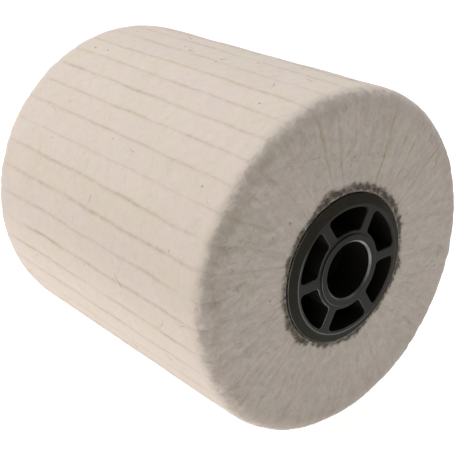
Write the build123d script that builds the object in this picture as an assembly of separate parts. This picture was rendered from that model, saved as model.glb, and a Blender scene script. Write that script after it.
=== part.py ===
from build123d import *

import os
from math import hypot

# Felt polishing drum: felt flaps packed edge to edge round a rigid core, on two moulded end hubs.
# Millimetres. The drum's centre is the origin, it spins about +Y, and -Y is its front end.
# Angles run anticlockwise from +X, as the front end is seen.

# Driving dimensions
drum_diameter = 115.0
felt_width = 120.0
flap_count = 42
bore_diameter = 19.0
hub_diameter = 50.0
hub_stands_proud = 2.0

# Felt flaps
flap_edge_radius = 6.0
flap_gap_angle = 0.12
flap_phase = 1.8

# Core: its outer face lies this far inside the hub's edge
flange_overhang = 0.5
root_bond_wall = 2.0
core_tube_wall = 2.0

# End hub: heights are above the felt's end face, and depths are below it
flange_depth = 2.0
shoulder_drop = 1.2
lip_width = 1.0
lip_edge_radius = 0.25
spigot_depth = 18.0
spigot_wall = 1.6
web_depth = 6.0
boss_depth = 16.0
boss_ring_height = 0.5
boss_ring_diameter = 24.3
window_inner_radius = 13.3
window_corner_radius = 1.5
spoke_count = 6
spoke_width = 3.5
spoke_phase = 2.5
web_overlap = 0.5
window_edge_radius = 0.35
ring_edge_radius = 0.25
bore_chamfer = 0.6

# Sleeve between the hubs
sleeve_wall = 2.0
sleeve_socket_depth = 6.0

# Bead of adhesive and matted fibre round each hub
bead_width = 4.0
bead_height = 0.6

# Derived sizes
drum_radius = drum_diameter / 2
felt_end = felt_width / 2
bore_radius = bore_diameter / 2
hub_radius = hub_diameter / 2
tube_end = felt_end - flange_depth
core_tube_outer = hub_radius - flange_overhang
root_radius = core_tube_outer + root_bond_wall
core_tube_inner = core_tube_outer - core_tube_wall
window_outer_radius = core_tube_inner - spigot_wall
sleeve_radius = bore_radius + sleeve_wall
sleeve_end = felt_end - boss_depth + sleeve_socket_depth
flap_pitch = 360 / flap_count

match_tolerance = 0.001

front_end = Plane(origin=(0, -felt_end, 0), x_dir=(1, 0, 0), z_dir=(0, -1, 0))


def ring(outer, inner, low, high):
    """A plain ring about the local Z axis, between two heights."""
    return Pos(0, 0, low) * extrude(Circle(outer) - Circle(inner), amount=high - low)


def tube(outer, inner, half_length):
    """A plain tube about the drum's axis, centred on the origin."""
    return Rot(X=90) * ring(outer, inner, -half_length, half_length)


def at_rear(shape):
    """The same piece at the other end of the drum."""
    return mirror(shape, about=Plane.XZ)


def felt_flap(index):
    """One flap: a wedge of felt from the bond to the drum's outside, with rounded outer corners."""
    height = drum_radius - root_radius
    profile = Pos(root_radius + height / 2, 0) * Rectangle(height, felt_width)
    outer_corners = profile.vertices().group_by(Axis.X)[-1]
    profile = fillet(outer_corners, flap_edge_radius)
    wedge = revolve(profile, Axis.Y, revolution_arc=flap_pitch - flap_gap_angle)
    start = flap_phase + (index + 1) * flap_pitch - flap_gap_angle / 2
    return wedge.rotate(Axis.Y, -start)


def window_outlines():
    """The openings between the spokes, with rounded corners."""
    reach = window_outer_radius + web_overlap
    arms = [
        Rot(Z=spoke_phase + i * 360 / spoke_count) * Pos(reach / 2, 0) * Rectangle(reach, spoke_width)
        for i in range(spoke_count)
    ]
    outlines = Circle(window_outer_radius) - Circle(window_inner_radius) - arms
    return fillet(outlines.vertices(), window_corner_radius)


def edges_at(body, height):
    """The edges that lie in the level plane at this height."""
    return body.edges().filter_by_position(Axis.Z, height - match_tolerance, height + match_tolerance)


def circle_edge(body, radius, height):
    """The edge that is a circle of this radius about Z, at this height."""
    return [
        edge
        for edge in edges_at(body, height).filter_by(GeomType.CIRCLE)
        if hypot(edge.arc_center.X, edge.arc_center.Y) < match_tolerance
        and abs(edge.radius - radius) < match_tolerance
    ]


def rim():
    """The flange outside its windows: a narrow flat lip, then a shallow conical shoulder to its edge."""
    rim_height = hub_stands_proud
    shoulder_foot = rim_height - shoulder_drop
    lip_radius = window_outer_radius + lip_width
    upright = (Align.CENTER, Align.CENTER, Align.MIN)
    disc = ring(hub_radius, window_outer_radius, -flange_depth, shoulder_foot)
    cone = Cone(hub_radius, lip_radius, shoulder_drop, align=upright)
    cone -= Cylinder(window_outer_radius, shoulder_drop, align=upright)
    return disc + Pos(0, 0, shoulder_foot) * cone


def end_hub():
    """The front hub: a flange with six windows, a spigot that plugs into the core tube, and a bored boss."""
    rim_height = hub_stands_proud
    face_height = rim_height + boss_ring_height
    ring_radius = boss_ring_diameter / 2
    socket_bottom = -boss_depth + sleeve_socket_depth

    spigot = ring(core_tube_inner, window_outer_radius, -spigot_depth, -flange_depth)
    boss = ring(window_inner_radius, bore_radius, -boss_depth, rim_height)
    boss += ring(ring_radius, bore_radius, rim_height, face_height)
    boss -= ring(sleeve_radius, bore_radius, -boss_depth, socket_bottom)

    web_outline = Circle(window_outer_radius + web_overlap) - Circle(window_inner_radius - web_overlap)
    web_outline -= window_outlines()
    web = Pos(0, 0, -web_depth) * extrude(web_outline, amount=web_depth + rim_height)
    hub = rim() + spigot + boss + web

    hub = fillet(circle_edge(hub, window_outer_radius + lip_width, rim_height), lip_edge_radius)
    hub = fillet(circle_edge(hub, hub_radius, rim_height - shoulder_drop), lip_edge_radius)
    hub = fillet(circle_edge(hub, ring_radius, face_height), ring_edge_radius)
    window_reach = window_outer_radius - window_inner_radius + match_tolerance
    window_edges = [
        edge
        for edge in edges_at(hub, rim_height)
        if -match_tolerance < hypot((edge @ 0.5).X, (edge @ 0.5).Y) - window_inner_radius < window_reach
    ]
    hub = fillet(window_edges, window_edge_radius)
    hub = chamfer(circle_edge(hub, bore_radius, face_height), bore_chamfer)
    return front_end * hub


def adhesive_bead():
    """The front bead: it fills the step between flange and felt, and laps onto the felt's end face."""
    filling = ring(root_radius, hub_radius, -flange_depth, 0)
    lap = ring(hub_radius + bead_width, hub_radius, 0, bead_height)
    return front_end * (filling + lap)


def all_pieces():
    pieces = {f"flap_{i + 1:02d}": felt_flap(i) for i in range(flap_count)}
    hub = end_hub()
    bead = adhesive_bead()
    pieces["hub_front"] = hub
    pieces["hub_rear"] = at_rear(hub)
    pieces["bead_front"] = bead
    pieces["bead_rear"] = at_rear(bead)
    pieces["root_bond"] = tube(root_radius, core_tube_outer, tube_end)
    pieces["core_tube"] = tube(core_tube_outer, core_tube_inner, tube_end)
    pieces["bore_sleeve"] = tube(sleeve_radius, bore_radius, sleeve_end)
    return pieces


os.makedirs("parts", exist_ok=True)
for name, piece in all_pieces().items():
    export_step(piece, f"parts/{name}.step")
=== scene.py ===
import math
import random
from collections import namedtuple

import bmesh
import bpy
import numpy as np
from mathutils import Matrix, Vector, noise


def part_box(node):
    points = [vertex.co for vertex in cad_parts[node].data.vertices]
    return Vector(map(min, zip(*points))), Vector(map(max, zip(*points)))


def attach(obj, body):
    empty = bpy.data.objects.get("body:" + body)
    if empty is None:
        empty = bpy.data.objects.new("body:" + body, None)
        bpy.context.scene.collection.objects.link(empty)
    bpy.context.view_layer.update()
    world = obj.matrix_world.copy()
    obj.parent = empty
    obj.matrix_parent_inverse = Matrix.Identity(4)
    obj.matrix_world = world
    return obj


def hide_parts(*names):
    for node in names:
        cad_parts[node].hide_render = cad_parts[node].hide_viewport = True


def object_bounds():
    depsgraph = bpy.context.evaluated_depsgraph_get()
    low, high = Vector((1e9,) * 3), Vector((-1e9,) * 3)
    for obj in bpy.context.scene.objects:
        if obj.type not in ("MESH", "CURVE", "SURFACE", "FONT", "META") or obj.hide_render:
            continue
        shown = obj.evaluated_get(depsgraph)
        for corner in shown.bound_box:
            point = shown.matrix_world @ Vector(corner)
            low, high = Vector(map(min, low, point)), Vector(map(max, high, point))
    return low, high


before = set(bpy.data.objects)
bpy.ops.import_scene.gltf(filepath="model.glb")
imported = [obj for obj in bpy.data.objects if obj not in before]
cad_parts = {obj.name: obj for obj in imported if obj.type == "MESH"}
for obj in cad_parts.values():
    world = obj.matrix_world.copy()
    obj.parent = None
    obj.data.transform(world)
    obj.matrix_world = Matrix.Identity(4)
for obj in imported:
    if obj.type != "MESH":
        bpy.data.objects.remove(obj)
cad_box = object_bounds()

# Sizes below are in metres and angles in degrees. The drum spins about Y, and -Y is its front end.
# Angles run anticlockwise from +X, as the front end is seen.
MM = 0.001
BODY = "root"
ENDS = {"front": -1, "rear": 1}

# Sizes read from the frame
drum_radius = cad_box[1].z
felt_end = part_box("flap_01")[1].y
root_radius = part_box("root_bond")[1].x
hub_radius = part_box("hub_front")[1].x
floor_level = cad_box[0].z

# The pack of flaps. The rounding at its rims is a curve of this power, a little squarer than a circle.
FLAP_COUNT = 42
FLAP_PITCH = 360 / FLAP_COUNT
FLAP_PHASE = 1.8
FLAP_HEIGHT = drum_radius - root_radius
SEAM_HALF_GAP = 0.004 * MM
EDGE_ROUNDING = 6.0 * MM
CORNER_POWER = 2.6

# How the joints between flaps stray from even spacing, in degrees. Each joint and each flap draws from its
# own stretch of the noise, which it finds by an arbitrary multiple of its number.
PACKING_DRIFT = 0.85
DRIFT_WAVES = 4
DRIFT_START = 103
SLACK = 4.0
SLACK_CENTRE = 63
SLACK_SPREAD = 14
TWIST = 0.85
SWIRL = 3.2
SWAY = 0.62
RIPPLE = 0.42

# Joints that stay open enough to show as lines on the front end, and how much they show
OPEN_JOINTS = {
    4: 0.45,
    6: 0.6,
    8: 0.95,
    10: 0.35,
    11: 0.7,
    12: 0.75,
    15: 0.5,
    17: 0.5,
    19: 0.4,
    22: 0.35,
    25: 0.4,
    26: 0.35,
}
CLOSED_JOINT = 0.12


def turned(radius, angle, y):
    """A point at this radius and angle from the drum's axis, at this place along it."""
    a = math.radians(angle)
    return Vector((radius * math.cos(a), y, radius * math.sin(a)))


def smooth_noise(x, y=0.0, z=0.0):
    """Perlin noise from about -1 to 1."""
    return noise.noise(Vector((x, y, z)))


def bell(x, width):
    """A bump of height 1 at 0, which falls to about a third at this width."""
    return math.exp(-((x / width) ** 2))


# Clumps of dark fluff round the front hub: angle, spread in degrees, and how much further they reach
FLUFF_CLUMPS = (
    (109, 12, 2.7 * MM),
    (86, 13, 1.5 * MM),
    (62, 14, 1.6 * MM),
    (30, 17, 1.7 * MM),
    (-19, 12, 1.6 * MM),
    (-78, 12, 1.2 * MM),
    (-123, 11, 0.5 * MM),
    (-145, 14, 1.4 * MM),
    (-172, 10, 0.8 * MM),
    (150, 14, 0.8 * MM),
)
FLUFF_LEAST = 1.45 * MM
FLUFF_RAGGED = 1.1 * MM
FLUFF_FLOOR = 0.6 * MM
REAR_TURN = 130


def fluff_reach(angle, end):
    """How far the dark fluff reaches past the hub's edge. The rear end has the same clumps, turned round."""
    turn = angle + (REAR_TURN if end > 0 else 0)
    a = math.radians(turn)
    x, z = math.cos(a), math.sin(a)
    reach = FLUFF_LEAST
    reach += FLUFF_RAGGED * (smooth_noise(x * 5, z * 5, 3) + 0.8 * smooth_noise(x * 14, z * 14, 8))
    for heading, spread, size in FLUFF_CLUMPS:
        reach += size * bell((turn - heading + 180) % 360 - 180, spread)
    return max(FLUFF_FLOOR, reach)


# ---------------------------------------------------------------- materials


def new_material(name):
    """A material with a Principled shader, its node tree and that shader."""
    material = bpy.data.materials.new(name)
    material.use_nodes = True
    tree = material.node_tree
    return material, tree, tree.nodes["Principled BSDF"]


def add_node(tree, kind, **settings):
    """A node with these properties, where a key of the form in_NAME sets the input NAME."""
    node = tree.nodes.new(kind)
    for key, value in settings.items():
        if key.startswith("in_"):
            node.inputs[key.removeprefix("in_")].default_value = value
        else:
            setattr(node, key, value)
    return node


def ramp(tree, source, stops):
    """A colour ramp on this socket, with stops of (position, colour)."""
    node = tree.nodes.new("ShaderNodeValToRGB")
    elements = node.color_ramp.elements
    while len(elements) < len(stops):
        elements.new(0.5)
    for element, (position, colour) in zip(elements, stops):
        element.position = position
        element.color = (*colour, 1)
    tree.links.new(source, node.inputs["Fac"])
    return node.outputs["Color"]


def grey_ramp(tree, source, low, high, start=0.0, end=1.0):
    """Maps this socket from low..high to start..end, and clamps it."""
    node = add_node(tree, "ShaderNodeMapRange")
    for name, value in (("From Min", low), ("From Max", high), ("To Min", start), ("To Max", end)):
        node.inputs[name].default_value = value
    tree.links.new(source, node.inputs["Value"])
    return node.outputs["Result"]


def mix_colours(tree, factor, first, second, blend="MIX"):
    """Mixes two colours, each a socket or a plain colour, by a socket or a number."""
    node = add_node(tree, "ShaderNodeMix", data_type="RGBA", blend_type=blend)
    for socket, value in ((node.inputs[0], factor), (node.inputs[6], first), (node.inputs[7], second)):
        if isinstance(value, bpy.types.NodeSocket):
            tree.links.new(value, socket)
        elif isinstance(value, tuple):
            socket.default_value = (*value, 1)
        else:
            socket.default_value = value
    return node.outputs[2]


def noise_at(tree, place, size, detail=3.0, roughness=0.5, distortion=0.0):
    """Noise on a position in metres, whose features are about this size."""
    node = add_node(tree, "ShaderNodeTexNoise", in_Scale=1 / size, in_Detail=detail)
    node.inputs["Roughness"].default_value = roughness
    node.inputs["Distortion"].default_value = distortion
    tree.links.new(place, node.inputs["Vector"])
    return node.outputs["Fac"]


def maths(tree, operation, first, second=0.0):
    """A Math node on two sockets or numbers."""
    node = add_node(tree, "ShaderNodeMath", operation=operation)
    for socket, value in zip(node.inputs, (first, second)):
        if isinstance(value, bpy.types.NodeSocket):
            tree.links.new(value, socket)
        else:
            socket.default_value = value
    return node.outputs[0]


def bumped(tree, shader, height, strength, distance):
    """Bump from this height socket on the shader's normal."""
    node = add_node(tree, "ShaderNodeBump", in_Strength=strength, in_Distance=distance)
    tree.links.new(height, node.inputs["Height"])
    tree.links.new(node.outputs["Normal"], shader.inputs["Normal"])


def position_in(tree):
    """The place on the surface, in metres from the drum's centre."""
    return tree.nodes.new("ShaderNodeTexCoord").outputs["Object"]


def vertex_value(tree, name):
    """A number that the mesh holds for each vertex."""
    return add_node(tree, "ShaderNodeAttribute", attribute_name=name).outputs["Fac"]


def multiplied(tree, first, second):
    """One colour times another."""
    return mix_colours(tree, 1.0, first, second, "MULTIPLY")


def offset_by(tree, value, wander, amount):
    """A value pushed up and down by noise that is centred on a half."""
    push = maths(tree, "MULTIPLY", maths(tree, "SUBTRACT", wander, 0.5), amount)
    return maths(tree, "ADD", value, push)


def axis_distance(tree, place):
    """Distance from the drum's axis."""
    parts = tree.nodes.new("ShaderNodeSeparateXYZ")
    tree.links.new(place, parts.inputs[0])
    x, z = parts.outputs["X"], parts.outputs["Z"]
    squares = maths(tree, "ADD", maths(tree, "MULTIPLY", x, x), maths(tree, "MULTIPLY", z, z))
    return maths(tree, "SQRT", squares)


STREAKS_AROUND = 26
STREAK_LENGTH = 9 * MM


def radial_streaks(tree, place):
    """Noise that is drawn out along the radius, as the cut ends of the flaps are."""
    level = add_node(tree, "ShaderNodeVectorMath", operation="MULTIPLY")
    level.inputs[1].default_value = (1, 0, 1)
    tree.links.new(place, level.inputs[0])
    heading = add_node(tree, "ShaderNodeVectorMath", operation="NORMALIZE")
    tree.links.new(level.outputs[0], heading.inputs[0])
    spread = add_node(tree, "ShaderNodeVectorMath", operation="SCALE", in_Scale=STREAKS_AROUND)
    tree.links.new(heading.outputs[0], spread.inputs[0])
    outward = add_node(tree, "ShaderNodeCombineXYZ")
    lengths_out = maths(tree, "MULTIPLY", axis_distance(tree, place), 1 / STREAK_LENGTH)
    tree.links.new(lengths_out, outward.inputs["Y"])
    both = add_node(tree, "ShaderNodeVectorMath", operation="ADD")
    tree.links.new(spread.outputs[0], both.inputs[0])
    tree.links.new(outward.outputs[0], both.inputs[1])
    return noise_at(tree, both.outputs[0], 1.0, 4.0, 0.6)


WHITE = (1, 1, 1)
FELT_CREAM = (0.655, 0.568, 0.492)
FELT_PINK = (0.668, 0.563, 0.500)
FELT_YELLOW = (0.645, 0.568, 0.476)
FELT_COOL = (0.645, 0.574, 0.512)
# Grey tint of the cut ends: partly their own colour, partly painted shade on the end faces
CUT_END_TINT_AND_SHADE = (0.81, 0.83, 0.84)
SEAM_BROWN = (0.42, 0.332, 0.220)
RIM_BAND_BROWN = (0.40, 0.325, 0.245)
STAIN_GREY = (0.125, 0.105, 0.078)
SPECK_BROWN = (0.12, 0.09, 0.06)

# Colours by the value of a noise or of the mesh, as stops on a ramp. The last four multiply the base colour.
CLOUD_TINTS = ((0.36, FELT_YELLOW), (0.48, FELT_CREAM), (0.58, FELT_PINK), (0.68, FELT_COOL))
SIDE_GRAIN = ((0.30, (0.95, 0.945, 0.935)), (0.60, WHITE))
END_GRAIN = ((0.30, (0.87, 0.86, 0.85)), (0.58, WHITE), (0.75, (1.04, 1.04, 1.05)))
END_STREAKS = ((0.34, (0.91, 0.90, 0.89)), (0.60, WHITE))
FLAP_TONES = ((0, (0.965, 0.955, 0.945)), (1, WHITE))

# Sizes of the felt's features
CLOUD_SIZE = 14 * MM
MATTED_SIZE = 2.4 * MM
RAGGED_SIZE = 3.6 * MM
FINE_SIZE = 0.7 * MM
BLOTCH_SIZE = 3.2 * MM
SPECK_SPACING = 11 * MM


def felt_colour(tree, place, matted, ragged):
    """Cream with faint clouds of tint. The cut ends are greyer and streaky, partly in their own colour and
    partly as painted shade on the end faces, with a ragged border where that painted shade begins.
    """
    base = ramp(tree, noise_at(tree, place, CLOUD_SIZE, 4.0, 0.6), CLOUD_TINTS)
    side_grain = ramp(tree, matted, SIDE_GRAIN)
    end_grain = ramp(tree, matted, END_GRAIN)
    streaks = ramp(tree, radial_streaks(tree, place), END_STREAKS)
    end_grain = multiplied(tree, multiplied(tree, end_grain, streaks), CUT_END_TINT_AND_SHADE)
    cut = grey_ramp(tree, offset_by(tree, vertex_value(tree, "end"), ragged, 1.1), 0.28, 0.50)
    base = multiplied(tree, base, mix_colours(tree, cut, side_grain, end_grain))
    return multiplied(tree, base, ramp(tree, vertex_value(tree, "tone"), FLAP_TONES))


def stained(tree, base, fine, matted):
    """Dark fluff ground into this colour in granules, as much as the mesh says."""
    soot = offset_by(tree, offset_by(tree, vertex_value(tree, "stain"), fine, 1.5), matted, 1.9)
    return mix_colours(tree, grey_ramp(tree, soot, 0.42, 1.20, 0.0, 0.85), base, STAIN_GREY)


def felt_material():
    """Wool felt with matted grain, brown joints, a darker brown band along the rims, dark fluff ground into
    it round the hubs and a few specks."""
    material, tree, shader = new_material("felt")
    place = position_in(tree)
    matted = noise_at(tree, place, MATTED_SIZE, 6.0, 0.62, 1.0)
    ragged = noise_at(tree, place, RAGGED_SIZE, 5.0, 0.7, 0.8)
    fine = noise_at(tree, place, FINE_SIZE, 5.0, 0.7, 0.8)
    base = felt_colour(tree, place, matted, ragged)

    patches = grey_ramp(tree, ragged, 0.44, 0.60, 0.0, 0.75)
    rim_band = maths(tree, "MULTIPLY", vertex_value(tree, "rim_band"), patches)
    base = mix_colours(tree, rim_band, base, RIM_BAND_BROWN)
    base = stained(tree, base, fine, matted)

    specks = add_node(tree, "ShaderNodeTexVoronoi", in_Scale=1 / SPECK_SPACING, in_Randomness=1.0)
    tree.links.new(place, specks.inputs["Vector"])
    speck = grey_ramp(tree, specks.outputs["Distance"], 0.022, 0.055, 0.6, 0.0)
    base = mix_colours(tree, speck, base, SPECK_BROWN)

    blotched = grey_ramp(tree, noise_at(tree, place, BLOTCH_SIZE, 5.0, 0.7), 0.34, 0.64, 0.25, 1.1)
    seam = maths(tree, "MULTIPLY", vertex_value(tree, "seam"), blotched)
    base = mix_colours(tree, seam, base, SEAM_BROWN)
    tree.links.new(base, shader.inputs["Base Color"])

    height = maths(tree, "ADD", matted, maths(tree, "MULTIPLY", fine, 0.6))
    bumped(tree, shader, height, 0.35, 0.3 * MM)
    tree.links.new(grey_ramp(tree, matted, 0.3, 0.7, 0.98, 0.88), shader.inputs["Roughness"])
    shader.inputs["Sheen Weight"].default_value = 0.12
    shader.inputs["Sheen Roughness"].default_value = 0.6
    shader.inputs["Specular IOR Level"].default_value = 0.1
    return material


def fibre_material(name, light, dark):
    """Loose fibre, between these two tones by each strand's own tone and a little along it."""
    material, tree, shader = new_material(name)
    tone = vertex_value(tree, "tone")
    along = noise_at(tree, position_in(tree), 0.8 * MM, 2.0)
    mixed = maths(tree, "ADD", maths(tree, "MULTIPLY", tone, 0.7), maths(tree, "MULTIPLY", along, 0.3))
    tree.links.new(ramp(tree, mixed, ((0.1, dark), (0.9, light))), shader.inputs["Base Color"])
    tree.links.new(grey_ramp(tree, along, 0.3, 0.7, 0.7, 0.95), shader.inputs["Roughness"])
    shader.inputs["Specular IOR Level"].default_value = 0.25
    return material


def edge_highlight_mask(tree):
    """Where the surface is a rounded or bevelled edge, facing neither along the axis nor straight across,
    where the hub's highlights are painted.
    """
    facing = tree.nodes.new("ShaderNodeSeparateXYZ")
    tree.links.new(tree.nodes.new("ShaderNodeTexCoord").outputs["Normal"], facing.inputs[0])
    along = maths(tree, "ABSOLUTE", facing.outputs["Y"])
    return maths(tree, "MULTIPLY", grey_ramp(tree, along, 0.15, 0.45), grey_ramp(tree, along, 0.90, 0.70))


HUB_BLACK = (0.0064, 0.0061, 0.0044)
# A greyer copy of the hub's black, painted for light reflected onto its lower side
HUB_LIT_GREY = (0.018, 0.0172, 0.0129)
HUB_BROWN_TINT = (0.033, 0.028, 0.019)
HUB_DUST = (0.16, 0.155, 0.145)
# Pale colour of the painted highlights on the hub's edges
HUB_HIGHLIGHT = (0.42, 0.43, 0.44)

# Radii between which a feature of the hub's front fades in, or out where the first is the larger
CHAMFER_ENDS = (10.9 * MM, 10.4 * MM)
LIP_RING_STARTS = (21.50 * MM, 21.75 * MM)
LIP_RING_ENDS = (22.15 * MM, 21.90 * MM)
SHOULDER_STARTS = (21.6 * MM, 22.3 * MM)


def bore_highlight(tree, radius, slanting):
    """A painted highlight on the bore's chamfer, most on its upper side."""
    upper_side = grey_ramp(tree, slanting, -2 * MM, 12 * MM, 0.15, 0.85)
    return maths(tree, "MULTIPLY", grey_ramp(tree, radius, *CHAMFER_ENDS), upper_side)


def lip_highlight(tree, radius, shaded_side):
    """A painted highlight on the low edge between the flat lip and the shoulder, on its lower side."""
    inside, outside = grey_ramp(tree, radius, *LIP_RING_STARTS), grey_ramp(tree, radius, *LIP_RING_ENDS)
    ring = maths(tree, "MULTIPLY", inside, outside)
    return maths(tree, "MULTIPLY", ring, grey_ramp(tree, shaded_side, 0.05, 0.36, 0.26, 0.0))


def hub_material():
    """Moulded nylon: near black with a satin skin, painted greyer low down for light reflected onto it and
    darker above as painted shade, with a brown tint that is strongest on the shoulder and the upper side,
    and pale painted highlights on its edges."""
    material, tree, shader = new_material("hub_plastic")
    place = position_in(tree)
    radius = axis_distance(tree, place)
    parts = tree.nodes.new("ShaderNodeSeparateXYZ")
    tree.links.new(place, parts.inputs[0])
    slanting = maths(tree, "ADD", parts.outputs["X"], parts.outputs["Z"])
    # Painted light across the hub: 0 on the lower left, which is painted greyer for reflected light and gets
    # the strongest painted highlights, 1 on the upper right, which is left darker as painted shade
    shaded_side = grey_ramp(tree, slanting, -16 * MM, 14 * MM)
    shoulder = grey_ramp(tree, radius, *SHOULDER_STARTS)
    texture = noise_at(tree, place, 0.5 * MM, 4.0, 0.6)
    cloudy = noise_at(tree, place, 7 * MM, 3.0)
    # Painted reflection low down, painted shade above
    base = mix_colours(tree, shaded_side, HUB_LIT_GREY, HUB_BLACK)

    # A brown tint, strongest on the shoulder and on the upper side, and left off low down
    brown_tint = maths(tree, "MAXIMUM", shoulder, maths(tree, "MULTIPLY", shaded_side, 0.35))
    brown_tint = maths(tree, "MULTIPLY", brown_tint, grey_ramp(tree, shaded_side, 0, 1, 0.4, 1.0))
    brown_tint = maths(tree, "MULTIPLY", brown_tint, grey_ramp(tree, cloudy, 0.3, 0.6, 0.5, 0.95))
    base = mix_colours(tree, brown_tint, base, HUB_BROWN_TINT)
    base = mix_colours(tree, grey_ramp(tree, texture, 0.62, 0.80, 0.0, 0.08), base, HUB_DUST)

    # Painted highlights on the edges, strongest low down and on the upper side of the bore's chamfer
    highlighted = grey_ramp(tree, shaded_side, 0, 1, 0.6, 0.08)
    highlighted = maths(tree, "MAXIMUM", highlighted, bore_highlight(tree, radius, slanting))
    highlighted = maths(tree, "MULTIPLY", highlighted, grey_ramp(tree, cloudy, 0.35, 0.65, 0.4, 1.0))
    painted_highlight = maths(tree, "MULTIPLY", edge_highlight_mask(tree), highlighted)
    painted_highlight = maths(tree, "MAXIMUM", painted_highlight, lip_highlight(tree, radius, shaded_side))
    base = mix_colours(tree, painted_highlight, base, HUB_HIGHLIGHT)
    tree.links.new(base, shader.inputs["Base Color"])

    satin = grey_ramp(tree, texture, 0.3, 0.7, 0.28, 0.40)
    roughness = maths(tree, "MAXIMUM", satin, maths(tree, "MULTIPLY", shoulder, 0.75))
    tree.links.new(roughness, shader.inputs["Roughness"])
    shader.inputs["Specular IOR Level"].default_value = 0.1
    bumped(tree, shader, texture, 0.15, 0.1 * MM)
    return material


def mottled_material(name, pattern, dark, light, roughness, bump):
    """A material whose colour, roughness and bump all follow one noise. The pattern is the noise's size,
    detail, roughness and distortion, and the bump is its strength and its depth."""
    material, tree, shader = new_material(name)
    mottle = noise_at(tree, position_in(tree), *pattern)
    tree.links.new(ramp(tree, mottle, ((0.3, dark), (0.7, light))), shader.inputs["Base Color"])
    tree.links.new(grey_ramp(tree, mottle, 0.3, 0.7, *roughness), shader.inputs["Roughness"])
    bumped(tree, shader, mottle, *bump)
    return material


def sleeve_material():
    """Black tube with a dull uneven skin."""
    dark, light = (0.012, 0.012, 0.012), (0.024, 0.023, 0.022)
    return mottled_material(
        "sleeve_plastic", (0.9 * MM, 3.0, 0.5, 0.0), dark, light, (0.55, 0.75), (0.2, 0.1 * MM)
    )


def tube_material():
    """Fibre tube, soaked dark with adhesive."""
    dark, light = (0.035, 0.026, 0.017), (0.075, 0.055, 0.036)
    return mottled_material(
        "fibre_tube", (1.2 * MM, 4.0, 0.6, 1.5), dark, light, (0.7, 0.9), (0.3, 0.2 * MM)
    )


def adhesive_material():
    """Cured resin, amber brown and slightly glossy."""
    dark, light = (0.08, 0.055, 0.028), (0.17, 0.12, 0.06)
    return mottled_material(
        "adhesive", (3 * MM, 3.0, 0.5, 1.0), dark, light, (0.3, 0.5), (0.2, 0.3 * MM)
    )


# The bead's tones are the felt's colour as it looks in shade: partly the matted fibre's own darker colour,
# partly painted shade by the hub's edge
MATTED_PALE = (0.50, 0.445, 0.385)
MATTED_DULL = (0.30, 0.268, 0.225)


def bead_material():
    """Matted fibre stiffened with adhesive, in tones darkened partly as painted shade by the hub's edge, and
    dark where fluff is ground into it.
    """
    material, tree, shader = new_material("matted_fibre")
    place = position_in(tree)
    matted = noise_at(tree, place, 1.6 * MM, 6.0, 0.65, 1.0)
    fine = noise_at(tree, place, 0.6 * MM, 5.0, 0.7, 0.8)
    base = ramp(tree, matted, ((0.36, MATTED_DULL), (0.56, MATTED_PALE)))
    tree.links.new(stained(tree, base, fine, matted), shader.inputs["Base Color"])
    tree.links.new(grey_ramp(tree, matted, 0.3, 0.7, 0.95, 0.8), shader.inputs["Roughness"])
    shader.inputs["Specular IOR Level"].default_value = 0.15
    bumped(tree, shader, fine, 0.6, 0.3 * MM)
    return material


def floor_material():
    """A white studio floor, which glows so that shadows on it stay faint."""
    material, _, shader = new_material("floor")
    shader.inputs["Base Color"].default_value = (0.55, 0.55, 0.55, 1)
    shader.inputs["Roughness"].default_value = 0.9
    shader.inputs["Specular IOR Level"].default_value = 0.1
    shader.inputs["Emission Color"].default_value = (1, 1, 1, 1)
    shader.inputs["Emission Strength"].default_value = 0.82
    return material


# ---------------------------------------------------------------- meshes


def new_piece(name, vertices, faces, material):
    """A smooth mesh object with one material, riding on the drum's one body."""
    mesh = bpy.data.meshes.new(name)
    mesh.from_pydata(vertices, [], faces)
    mesh.materials.append(material)
    mesh.validate()
    mesh.shade_smooth()
    piece = bpy.data.objects.new(name, mesh)
    bpy.context.scene.collection.objects.link(piece)
    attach(piece, BODY)
    return piece


def set_attribute(piece, name, values):
    """A float for each vertex, which the material reads."""
    layer = piece.data.attributes.new(name, "FLOAT", "POINT")
    layer.data.foreach_set("value", np.asarray(values, np.float32))


def loop_faces(rows, width, joined):
    """Quads between rows of points, where each row is a closed loop of this width. Where they are joined,
    the last row meets the first."""
    faces = []
    for i in range(rows if joined else rows - 1):
        n = (i + 1) % rows
        for j in range(width):
            k = (j + 1) % width
            faces.append((i * width + j, i * width + k, n * width + k, n * width + j))
    return faces


MERGE_DISTANCE = 0.001 * MM


def merge_doubles(piece):
    """Closes the mesh where points of it meet, and turns its faces outwards."""
    work = bmesh.new()
    work.from_mesh(piece.data)
    bmesh.ops.remove_doubles(work, verts=work.verts, dist=MERGE_DISTANCE)
    bmesh.ops.dissolve_degenerate(work, edges=work.edges, dist=MERGE_DISTANCE)
    bmesh.ops.recalc_face_normals(work, faces=work.faces)
    work.to_mesh(piece.data)
    work.free()


# ---------------------------------------------------------------- felt flaps

# Points along the outline and across each flap, where 0 and 2 are its joints and 1 is its middle
FACE_STEPS = 36
CORNER_STEPS = 14
SIDE_STEPS = 130
WALL_STEPS = 3
WALL_TUCK = 1.5 * MM
HALF_WIDTH_STOPS = (0, 0.03, 0.07, 0.12, 0.19, 0.28, 0.40, 0.55, 0.72, 0.86, 1.0)

# The skin's relief. The widths are shares of half a flap's width.
LIFT = 0.25 * MM
BROAD_WAVES = 0.22 * MM
LUMPS = 0.08 * MM
PIMPLES = 0.04 * MM
SEAM_DEPTH = 0.02 * MM
SEAM_WIDTH = 0.15
NOTCH_DEPTH = 0.10 * MM
NOTCH_WIDTH = 0.22
FLUSH_WIDTH = 0.35

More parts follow.
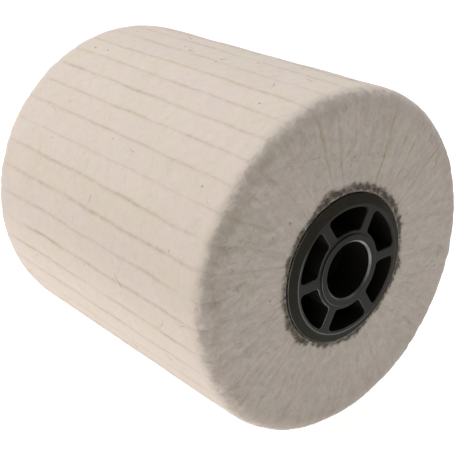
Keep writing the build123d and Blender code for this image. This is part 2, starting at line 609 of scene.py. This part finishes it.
# How each flap strays from its neighbours: on its ends, at its corners, in the border of its cut ends and
# on the working surface. Most of it is near the rims and on one side of the drum.
END_STRAY = 0.5 * MM
END_TILT = 0.35 * MM
CORNER_STRAY = 0.4 * MM
CUT_STRAY = 0.22
PROUD_STRAY = 0.03 * MM
RAGGED_RIM = 5 * MM
TRIMMED = 0.1
UNEVEN_HEADING = 135

RIM_BAND_RADIUS = 53.5 * MM
RIM_BAND_SPREAD = 3.0 * MM
RIM_BAND_HEADING = 175
STAIN_FADE = 2.6 * MM
BARE_STRIP = 0.35
BARE_STRIP_AT = 0.5 * MM
BARE_STRIP_WIDTH = 0.55 * MM


def flap_outline():
    """Points of the flap's outline in the plane of the axis, from one root to the other. Each is its
    radius, its place along the axis, its outward normal's two parts, and how far it is on an end face,
    from 0 to 1."""
    points = []
    rim = drum_radius - EDGE_ROUNDING
    shoulder = felt_end - EDGE_ROUNDING
    for end in ENDS.values():
        stretch = []
        for i in range(FACE_STEPS):
            radius = root_radius + (rim - root_radius) * i / FACE_STEPS
            stretch.append((radius, end * felt_end, 0.0, end, 1.0))
        for i in range(CORNER_STEPS):
            turn = math.pi / 2 * i / CORNER_STEPS
            out, along = math.sin(turn) ** (2 / CORNER_POWER), math.cos(turn) ** (2 / CORNER_POWER)
            facing = Vector((out ** (CORNER_POWER - 1), along ** (CORNER_POWER - 1))).normalized()
            place = (rim + EDGE_ROUNDING * out, end * (shoulder + EDGE_ROUNDING * along))
            stretch.append((*place, facing.x, end * facing.y, 1 - i / CORNER_STEPS))
        if end < 0:
            points += stretch
            for i in range(SIDE_STEPS + 1):
                points.append((drum_radius, shoulder * (2 * i / SIDE_STEPS - 1), 1.0, 0.0, 0.0))
        else:
            points += reversed(stretch)
    return points


def seam_angle(seam, radius, y):
    """The angle of the joint before this flap. The joints are unevenly spaced, twist and wander along the
    drum, and swirl a little on its ends."""
    angle = FLAP_PHASE + FLAP_PITCH * seam
    which = seam % FLAP_COUNT
    even = FLAP_PHASE + FLAP_PITCH * which
    drift = PACKING_DRIFT * math.cos(math.radians(DRIFT_WAVES * (even - DRIFT_START)))
    drift -= SLACK * bell(even - SLACK_CENTRE, SLACK_SPREAD)
    twist = -TWIST * y / felt_end
    depth = 1 - (radius - root_radius) / FLAP_HEIGHT
    swirl = -SWIRL * depth * (1 + 0.35 * smooth_noise(which * 3.7, 4.2))
    sway = SWAY * smooth_noise(y * 20 + which * 5.3, radius * 90, which * 1.9)
    ripple = RIPPLE * smooth_noise(y * 85 + which * 2.1, radius * 210, which * 4.4)
    return angle + drift + twist + swirl + (1 + depth) * (sway + ripple)


def seam_strength(seam, radius, y, face):
    """How much a joint shows at this place. Joints differ, and each fades in and out and at the rims."""
    which = seam % FLAP_COUNT
    on_side = 0.56 + 0.48 * smooth_noise(which * 7.1, 1.3)
    on_side *= 1 - 0.55 * bell(felt_end - abs(y), 11 * MM)
    on_end = 0.4 + 0.6 * smooth_noise(which * 5.7, 8.8)
    if y < 0:
        on_end = OPEN_JOINTS.get(which, CLOSED_JOINT)
    along = 0.72 + 1.0 * smooth_noise(y * 45 + which * 3.3, radius * 120, which)
    depth = 1 - (radius - root_radius) / FLAP_HEIGHT
    fade = 1 - 0.75 * max(0.0, depth) ** 2
    each = on_side * (1 - face) + 1.8 * on_end * fade * face
    each *= 1 - 0.6 * math.sin(math.pi * face)
    return max(0.0, min(1.0, each * along))


def flap_walls(index, outline_point, root):
    """The flap's two hidden walls, from its root to its skin, as two lists of points."""
    radius, y, out, along, _ = outline_point
    walls = []
    for seam, side in ((index, 1), (index + 1, -1)):
        wall = []
        for step in range(WALL_STEPS):
            share = 1 - step / WALL_STEPS
            tuck = WALL_TUCK * (1 - share)
            r = radius + (root[0] - radius) * share - tuck * out
            place = y + (root[1] - y) * share - tuck * along
            angle = seam_angle(seam, r, place) + side * math.degrees(SEAM_HALF_GAP / r)
            wall.append(turned(r, angle, place))
        walls.append(wall)
    return walls


def worn_side(angle, heading, least):
    """From this least value up to 1 on the side of the drum that has this heading."""
    return least + (1 - least) * max(0.0, math.cos(math.radians(angle - heading)))


def rim_band_at(radius, angle, end, face):
    """How much the felt is darkened to brown: in a band along each rim, mostly on one side of the front end.
    """
    band = bell(radius - RIM_BAND_RADIUS, RIM_BAND_SPREAD) * min(1.0, 2 * face)
    return band * (worn_side(angle, RIM_BAND_HEADING, 0.12) if end < 0 else 0.4)


def stain_at(radius, angle, end):
    """How much dark fluff is ground in here: most of it within the fluff's reach, but less by the hub."""
    out = radius - hub_radius
    inside = fluff_reach(angle, end) - out
    covered = max(0.0, min(1.0, 0.5 + inside / STAIN_FADE))
    return covered - BARE_STRIP * bell(out - BARE_STRIP_AT, BARE_STRIP_WIDTH)


def flap_strays(index, end):
    """How far this flap's end stands out, leans and sticks out at the corner."""
    stray = END_STRAY * smooth_noise(index * 2.3, 7.7 + end)
    tilt = END_TILT * smooth_noise(index * 3.9, 1.7 + end)
    return stray, tilt, CORNER_STRAY * smooth_noise(index * 6.1, 2.9 + end)


def skin_relief(spot, face):
    """The matted skin's own height, which is coarser on the cut ends."""
    broad = BROAD_WAVES * noise.noise(spot * 60)
    lumps = LUMPS * noise.noise(spot * 380) + PIMPLES * noise.noise(spot * 1000)
    return LIFT + broad + lumps * (1 + face)


def skin_row(index, outline_point, strays):
    """One row of the flap's skin, from joint to joint: its points, and at each point how much it belongs to
    a joint and to a cut end, and its rim band and stain."""
    radius, y, out, along, face = outline_point
    end_stray, end_tilt, corner_stray = strays
    end = -1 if y < 0 else 1
    gap = math.degrees(SEAM_HALF_GAP / radius)
    before = seam_angle(index, radius, y) + gap
    after = seam_angle(index + 1, radius, y) - gap
    strengths = (seam_strength(index, radius, y, face), seam_strength(index + 1, radius, y, face))
    corner = math.sin(math.pi * face)
    inside_rim = max(0.0, drum_radius - EDGE_ROUNDING - radius)
    trimmed = TRIMMED + (1 - TRIMMED) * bell(inside_rim, RAGGED_RIM)
    proud = PROUD_STRAY * smooth_noise(index * 4.9, 9.4)
    uneven = worn_side(FLAP_PHASE + FLAP_PITCH * (index + 0.5), UNEVEN_HEADING, 0.3)
    # Each flap moves the border of its cut end, and with it the border of the painted shade on its end face
    cut = face + CUT_STRAY * smooth_noise(index * 2.7, 6.1) * corner
    points, values = [], []
    for x in list(HALF_WIDTH_STOPS) + [2 - x for x in reversed(HALF_WIDTH_STOPS[:-1])]:
        edge = 1 - abs(x - 1)
        angle = before + (after - before) * x / 2
        strength = strengths[x > 1]
        notch = corner * NOTCH_DEPTH * bell(edge, NOTCH_WIDTH)
        groove = SEAM_DEPTH * bell(edge, SEAM_WIDTH) * (1 + strength)
        stray = (end_stray + end_tilt * (x - 1)) * min(1.0, 2 * face) * trimmed + corner_stray * corner
        stray = (stray * uneven + proud * out) * (1 - bell(edge, FLUSH_WIDTH))
        lift = skin_relief(turned(radius, angle, y), face) + stray - notch - groove
        points.append(turned(radius + out * lift, angle, y + along * lift))
        stain = stain_at(radius, angle, end) * face
        values.append((strength * bell(edge, SEAM_WIDTH), cut, rim_band_at(radius, angle, end, face), stain))
    return points, values


def felt_flap(index, outline, material):
    """One flap: a closed wedge with an uneven matted skin, flush with its neighbours along the joints."""
    strays = {end: flap_strays(index, end) for end in ENDS.values()}
    last = len(outline) - 1
    vertices, values = [], []
    for i, point in enumerate(outline):
        walls = flap_walls(index, point, (root_radius, felt_end * (2 * i / last - 1)))
        skin, row = skin_row(index, point, strays[-1 if point[1] < 0 else 1])
        vertices += walls[0] + skin + walls[1][::-1]
        values += [row[0]] * WALL_STEPS + row + [row[-1]] * WALL_STEPS
    faces = loop_faces(len(outline), len(vertices) // len(outline), joined=False)
    piece = new_piece(f"felt_flap_{index + 1:02d}", vertices, faces, material)
    for name, column in zip(("seam", "end", "rim_band", "stain"), zip(*values)):
        set_attribute(piece, name, column)
    set_attribute(piece, "tone", [0.5 + 0.5 * smooth_noise(index * 11.3, 2.2)] * len(vertices))
    merge_doubles(piece)
    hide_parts(f"flap_{index + 1:02d}")


def build_felt():
    """The pack of flaps."""
    material = felt_material()
    outline = flap_outline()
    for index in range(FLAP_COUNT):
        felt_flap(index, outline, material)


# ---------------------------------------------------------------- loose fibre

# A kind of fibre: the ranges of its length and thickness in mm, how steeply it leaves the surface, how much
# it bends at most, and how many steps it is drawn in
Fibre = namedtuple("Fibre", "length thickness lift bend steps")

SIDE_NAP = Fibre((1.0, 4.0), (0.014, 0.026), (0.05, 0.55), 0.9, 5)
END_NAP = Fibre((1.0, 4.5), (0.014, 0.028), (0.05, 0.6), 0.9, 5)
TUFT = Fibre((1.2, 3.8), (0.018, 0.036), (0.05, 0.5), 2.4, 7)
SIDE_HAIR = Fibre((2.0, 6.5), (0.035, 0.07), 0.03, 5.0, 12)
END_HAIR = Fibre((1.5, 4.0), (0.03, 0.055), 0.03, 4.0, 12)
FLUFF = Fibre((0.3, 1.1), (0.018, 0.036), (0.0, 0.5), 3.0, 4)

# The lightest and darkest tone of each
NAP_TONES = ((0.72, 0.63, 0.53), (0.46, 0.38, 0.29))
TUFT_TONES = ((0.86, 0.80, 0.72), (0.66, 0.59, 0.50))
HAIR_TONES = ((0.34, 0.26, 0.17), (0.13, 0.09, 0.055))
FLUFF_TONES = ((0.44, 0.385, 0.315), (0.10, 0.083, 0.062))

SIDE_NAP_COUNT = 5200
END_NAP_COUNT = 3600
NAP_HEIGHT = 0.05 * MM
TUFT_COUNT = 46
TUFT_STRANDS = 16
TUFT_HEADING = 175
TUFT_SPREAD = 42
TUFT_RADIUS_LIMIT = 57 * MM
TUFT_HEIGHT = 0.25 * MM
HAIR_COUNT = 44
SIDE_HAIR_HEIGHT = 0.28 * MM
END_HAIR_HEIGHT = 0.30 * MM


class Strands:
    """Thin three-sided strands that share one mesh, each with a tone and tapered to its tip."""

    def __init__(self):
        self.vertices, self.faces, self.tones = [], [], []

    def add(self, points, thickness, tone):
        """Adds one strand through these points."""
        start = len(self.vertices)
        count = len(points)
        for i, point in enumerate(points):
            ahead = points[min(i + 1, count - 1)] - points[max(i - 1, 0)]
            ahead.normalize()
            side = ahead.orthogonal().normalized()
            other = ahead.cross(side)
            taper = thickness * (1 - 0.75 * i / (count - 1))
            for k in range(3):
                a = 2 * math.pi * k / 3
                self.vertices.append(point + (side * math.cos(a) + other * math.sin(a)) * taper)
                self.tones.append(tone)
        for i in range(count - 1):
            for k in range(3):
                a, b = start + i * 3 + k, start + i * 3 + (k + 1) % 3
                self.faces.append((a, b, b + 3, a + 3))
        tip = start + (count - 1) * 3
        self.faces += [(start + 2, start + 1, start), (tip, tip + 1, tip + 2)]

    def finish(self, name, material):
        """Makes the piece."""
        piece = new_piece(name, self.vertices, self.faces, material)
        set_attribute(piece, "tone", self.tones)


def any_turn(rng):
    """A heading at random, in radians."""
    return rng.uniform(0, 2 * math.pi)


def curl(rng, start, normal, angle, turn, kind):
    """Points of a strand that sets off along the surface, turned this much from the way round the drum. It
    leaves the surface, bends at random and lies back."""
    around = turned(1, angle + 90, 0)
    heading = (around * math.cos(turn) + normal.cross(around) * math.sin(turn)).normalized()
    length = rng.uniform(*kind.length) * MM
    lift = rng.uniform(*kind.lift) if isinstance(kind.lift, tuple) else kind.lift
    bend = normal.cross(heading) * rng.uniform(-kind.bend, kind.bend)
    points = [start]
    for i in range(kind.steps):
        rise = lift * math.cos(math.pi * (i + 0.5) / kind.steps)
        heading = (heading + bend * (1 / kind.steps)).normalized()
        points.append(points[-1] + (heading + normal * rise).normalized() * (length / kind.steps))
    return points


def surface_point(radius, angle, end, height):
    """A point this high above an end face or its rounded rim, and the surface's normal there."""
    slope = max(0.0, radius - (drum_radius - EDGE_ROUNDING)) / EDGE_ROUNDING
    along = (max(0.0, 1 - slope ** CORNER_POWER)) ** (1 / CORNER_POWER)
    drop = EDGE_ROUNDING * (1 - along)
    normal = turned(slope ** (CORNER_POWER - 1), angle, end * along ** (CORNER_POWER - 1)).normalized()
    return turned(radius, angle, end * (felt_end - drop)) + normal * height, normal


def add_to_side(strands, rng, count, height, kind):
    """Adds this many fibres, scattered this high above the working surface."""
    half = felt_end - EDGE_ROUNDING
    for _ in range(count):
        angle = rng.uniform(0, 360)
        start = turned(drum_radius + height, angle, rng.uniform(-half, half))
        points = curl(rng, start, turned(1, angle, 0), angle, any_turn(rng), kind)
        strands.add(points, rng.uniform(*kind.thickness) * MM, rng.random())


def add_to_end(strands, rng, end, count, height, kind, random_radius):
    """Adds this many fibres, scattered this high above an end face at radii drawn by random_radius."""
    for _ in range(count):
        angle = rng.uniform(0, 360)
        start, normal = surface_point(random_radius(), angle, end, height)
        points = curl(rng, start, normal, angle, any_turn(rng), kind)
        strands.add(points, rng.uniform(*kind.thickness) * MM, rng.random())


def felt_nap():
    """Loose fibres that stand off the working surface and the ends."""
    rng = random.Random(11)
    strands = Strands()

    def random_radius():
        return math.sqrt(rng.uniform((root_radius + 1 * MM) ** 2, drum_radius ** 2))

    add_to_side(strands, rng, SIDE_NAP_COUNT, NAP_HEIGHT, SIDE_NAP)
    for end in ENDS.values():
        add_to_end(strands, rng, end, END_NAP_COUNT, NAP_HEIGHT, END_NAP, random_radius)
    strands.finish("felt_nap", fibre_material("felt_fibre", *NAP_TONES))


def rim_tufts():
    """Pale curls of wool pulled out of the cut ends near the rims, more of them on one side."""
    rng = random.Random(23)
    strands = Strands()
    for end in ENDS.values():
        for _ in range(TUFT_COUNT):
            centre = rng.gauss(TUFT_HEADING, TUFT_SPREAD)
            radius = rng.triangular(38, 56, 51) * MM
            main_turn = any_turn(rng)
            for _ in range(TUFT_STRANDS):
                angle = centre + rng.gauss(0, 1.1)
                out = min(radius + rng.gauss(0, 0.9) * MM, TUFT_RADIUS_LIMIT)
                start, normal = surface_point(out, angle, end, TUFT_HEIGHT)
                points = curl(rng, start, normal, angle, main_turn + rng.gauss(0, 0.7), TUFT)
                strands.add(points, rng.uniform(*TUFT.thickness) * MM, rng.random())
    strands.finish("rim_tufts", fibre_material("pale_fibre", *TUFT_TONES))


def stray_hairs():
    """Single brown hairs matted into the working surface and the end faces."""
    rng = random.Random(57)
    strands = Strands()

    def random_radius():
        return rng.uniform(32, 52) * MM

    add_to_side(strands, rng, HAIR_COUNT, SIDE_HAIR_HEIGHT, SIDE_HAIR)
    for end in ENDS.values():
        add_to_end(strands, rng, end, HAIR_COUNT // 2, END_HAIR_HEIGHT, END_HAIR, random_radius)
    strands.finish("stray_hairs", fibre_material("brown_hair", *HAIR_TONES))


# ---------------------------------------------------------------- bead round each hub

BEAD_AROUND = 480
BEAD_ACROSS = 16
BEAD_HEIGHT = 0.12 * MM
BEAD_UNDERLAP = 0.35 * MM
BEAD_OVERLAP = 0.45 * MM
BEAD_RAGGED = 0.35 * MM
BEAD_ROOT_DEPTH = 0.8 * MM
BEAD_ROOT_INSET = 0.36 * MM
BEAD_LUMPS = 0.16 * MM
BEAD_PIMPLES = 0.12 * MM
GAP_DEPTH = 0.9 * MM
GAP_WIDTH = 0.24 * MM

KNOTS_TRIED = 8000
KNOT_STRANDS = 4
KNOT_SIZE = 0.22 * MM
FULL_REACH = 4.2 * MM


def bead_width(angle, end):
    """The solid part of the bead just laps onto the flaps, further where there is more fluff."""
    a = math.radians(angle)
    ragged = BEAD_RAGGED * smooth_noise(math.cos(a) * 11, math.sin(a) * 11, 5 + end)
    return root_radius - hub_radius + BEAD_OVERLAP + 0.2 * fluff_reach(angle, end) + ragged


def bead_section(angle, end):
    """Points of the bead's outline at this angle, and how stained it is at each."""
    inner = hub_radius - BEAD_UNDERLAP
    outer = hub_radius + bead_width(angle, end)
    buried = end * (felt_end - BEAD_ROOT_DEPTH)
    points, stains = [], []
    for j in range(BEAD_ACROSS + 1):
        across = j / BEAD_ACROSS
        radius = inner + (outer - inner) * across
        spot = turned(radius, angle, end * felt_end)
        lump = BEAD_LUMPS * noise.noise(spot * 900) + BEAD_PIMPLES * noise.noise(spot * 2200)
        height = BEAD_HEIGHT * math.sin(math.pi * (0.3 + 0.7 * across)) + lump + LIFT
        height -= GAP_DEPTH * bell(radius - hub_radius, GAP_WIDTH)
        if j == BEAD_ACROSS:
            height = 0.0
        points.append(turned(radius, angle, end * (felt_end + height)))
        stains.append(stain_at(radius, angle, end))
    points.append(turned(outer, angle, buried))
    points.append(turned(inner + BEAD_ROOT_INSET, angle, buried))
    return points, stains + [0.0, 0.0]


def bead(name, end, material):
    """A low matted ring that fills the step round the hub's flange, but for a thin gap, and laps onto the
    felt."""
    vertices, stains = [], []
    for i in range(BEAD_AROUND):
        points, row = bead_section(360 * i / BEAD_AROUND, end)
        vertices += points
        stains += row
    faces = loop_faces(BEAD_AROUND, len(vertices) // BEAD_AROUND, joined=True)
    piece = new_piece(name, vertices, faces, material)
    set_attribute(piece, "stain", stains)
    merge_doubles(piece)
    return piece


def bead_fibres(name, end, material):
    """Dark fluff round the hub: knots of short curled fibre, dense near it and scattered further out."""
    rng = random.Random(31 + end)
    strands = Strands()
    normal = Vector((0, end, 0))
    for _ in range(KNOTS_TRIED):
        angle = rng.uniform(0, 360)
        reach = fluff_reach(angle, end)
        out = reach * rng.triangular(0.1, 1.25, 0.5)
        centre = turned(hub_radius + out, angle, end * (felt_end + LIFT))
        grain = noise.noise(centre * 1100) + 0.7 * noise.noise(centre * 450)
        if rng.random() * FULL_REACH > reach or grain < 0.6 * (out / reach) - 0.46:
            continue
        tone = rng.random() ** 1.2
        for _ in range(KNOT_STRANDS):
            aside = turned(rng.gauss(0, KNOT_SIZE), rng.uniform(0, 180), 0)
            start = centre + aside + normal * rng.uniform(0.0, 0.35) * MM
            points = curl(rng, start, normal, angle, any_turn(rng), FLUFF)
            thickness = rng.uniform(*FLUFF.thickness) * MM
            strands.add(points, thickness, min(1.0, tone * rng.uniform(0.7, 1.3)))
    strands.finish(name, material)


def build_beads():
    """The bead round each hub, and the fluff that is caught in it."""
    matted = bead_material()
    fluff = fibre_material("dark_fibre", *FLUFF_TONES)
    for side, end in ENDS.items():
        ring = bead(f"matted_bead_{side}", end, matted)
        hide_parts(f"bead_{side}")
        bead_fibres(f"bead_fibres_{side}", end, fluff)


# ---------------------------------------------------------------- carried-over CAD nodes


def dress_cad_nodes():
    """Gives each CAD node that stays visible its own material."""
    hub = hub_material()
    for node, material in (
        ("hub_front", hub),
        ("hub_rear", hub),
        ("bore_sleeve", sleeve_material()),
        ("core_tube", tube_material()),
        ("root_bond", adhesive_material()),
    ):
        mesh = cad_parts[node].data
        mesh.materials.clear()
        mesh.materials.append(material)


# ---------------------------------------------------------------- stage, lights and camera

# The camera looks at this point from this heading, where 0 is straight at the front end
VIEW_AZIMUTH = -40.1
VIEW_ELEVATION = 23.5
VIEW_DISTANCE = 0.32
VIEW_AIM = Vector((-0.0229, -0.0300, 0.0104))
LENS_MM = 79.1

# The felt's lift puts the floor a little lower than the CAD box
FLOOR_DROP = 0.6 * MM
FLOOR_REACH = 4.0

# Each light's name, angle round the drum, lean towards its rear end, power and colour
LIGHTS = (
    ("high", 88, 4, 6.2, (0.94, 0.97, 1.0)),
    ("upper_left", 136, 37, 2.25, (1.0, 0.98, 0.965)),
    ("left", 170, 45, 1.85, (1.0, 0.975, 0.95)),
    ("right", 8, 2, 0.8, (0.96, 0.98, 1.0)),
)
LIGHT_DISTANCE = 1.05
LIGHT_SIZE = 0.25
SKY = ((0, (0.13, 0.13, 0.13)), (1, (0.60, 0.60, 0.60)))


def build_floor():
    """A square floor under the drum, which lies on its side."""
    level = floor_level - FLOOR_DROP
    corners = [(x * FLOOR_REACH, y * FLOOR_REACH, level) for x, y in ((-1, -1), (1, -1), (1, 1), (-1, 1))]
    mesh = bpy.data.meshes.new("floor")
    mesh.from_pydata(corners, [], [(0, 1, 2, 3)])
    mesh.materials.append(floor_material())
    floor = bpy.data.objects.new("floor", mesh)
    bpy.context.scene.collection.objects.link(floor)


def softbox(name, place, power, colour):
    """A round area light aimed at the drum's centre."""
    light = bpy.data.lights.new(name, "AREA")
    light.shape = "DISK"
    light.size = LIGHT_SIZE
    light.energy = power
    light.color = colour
    lamp = bpy.data.objects.new(name, light)
    lamp.location = place
    lamp.rotation_mode = "QUATERNION"
    lamp.rotation_quaternion = (-place).to_track_quat("-Z", "Y")
    bpy.context.scene.collection.objects.link(lamp)


def build_lights():
    """Softboxes above and on both sides, and a dim sky that is brighter towards the rear."""
    for name, angle, lean, power, colour in LIGHTS:
        behind = math.radians(lean)
        place = turned(LIGHT_DISTANCE * math.cos(behind), angle, LIGHT_DISTANCE * math.sin(behind))
        softbox(name, place, power, colour)
    world = bpy.data.worlds.new("studio")
    world.use_nodes = True
    tree = world.node_tree
    direction = tree.nodes.new("ShaderNodeSeparateXYZ")
    tree.links.new(tree.nodes.new("ShaderNodeTexCoord").outputs["Generated"], direction.inputs[0])
    sky = ramp(tree, grey_ramp(tree, direction.outputs["Y"], -1, 1), SKY)
    tree.links.new(sky, tree.nodes["Background"].inputs["Color"])
    bpy.context.scene.world = world


def build_camera():
    """The camera, with no shift and no depth of field."""
    azimuth, elevation = math.radians(VIEW_AZIMUTH), math.radians(VIEW_ELEVATION)
    level = math.cos(elevation)
    back = Vector((math.sin(azimuth) * level, -math.cos(azimuth) * level, math.sin(elevation)))
    data = bpy.data.cameras.new("camera")
    data.lens = LENS_MM
    data.clip_start = 0.01
    camera = bpy.data.objects.new("camera", data)
    camera.location = VIEW_AIM + back * VIEW_DISTANCE
    camera.rotation_mode = "QUATERNION"
    camera.rotation_quaternion = (-back).to_track_quat("-Z", "Y")
    bpy.context.scene.collection.objects.link(camera)
    bpy.context.scene.camera = camera


bpy.context.scene.view_settings.view_transform = "Standard"
build_camera()
dress_cad_nodes()
build_felt()
felt_nap()
rim_tufts()
stray_hairs()
build_beads()
build_floor()
build_lights()
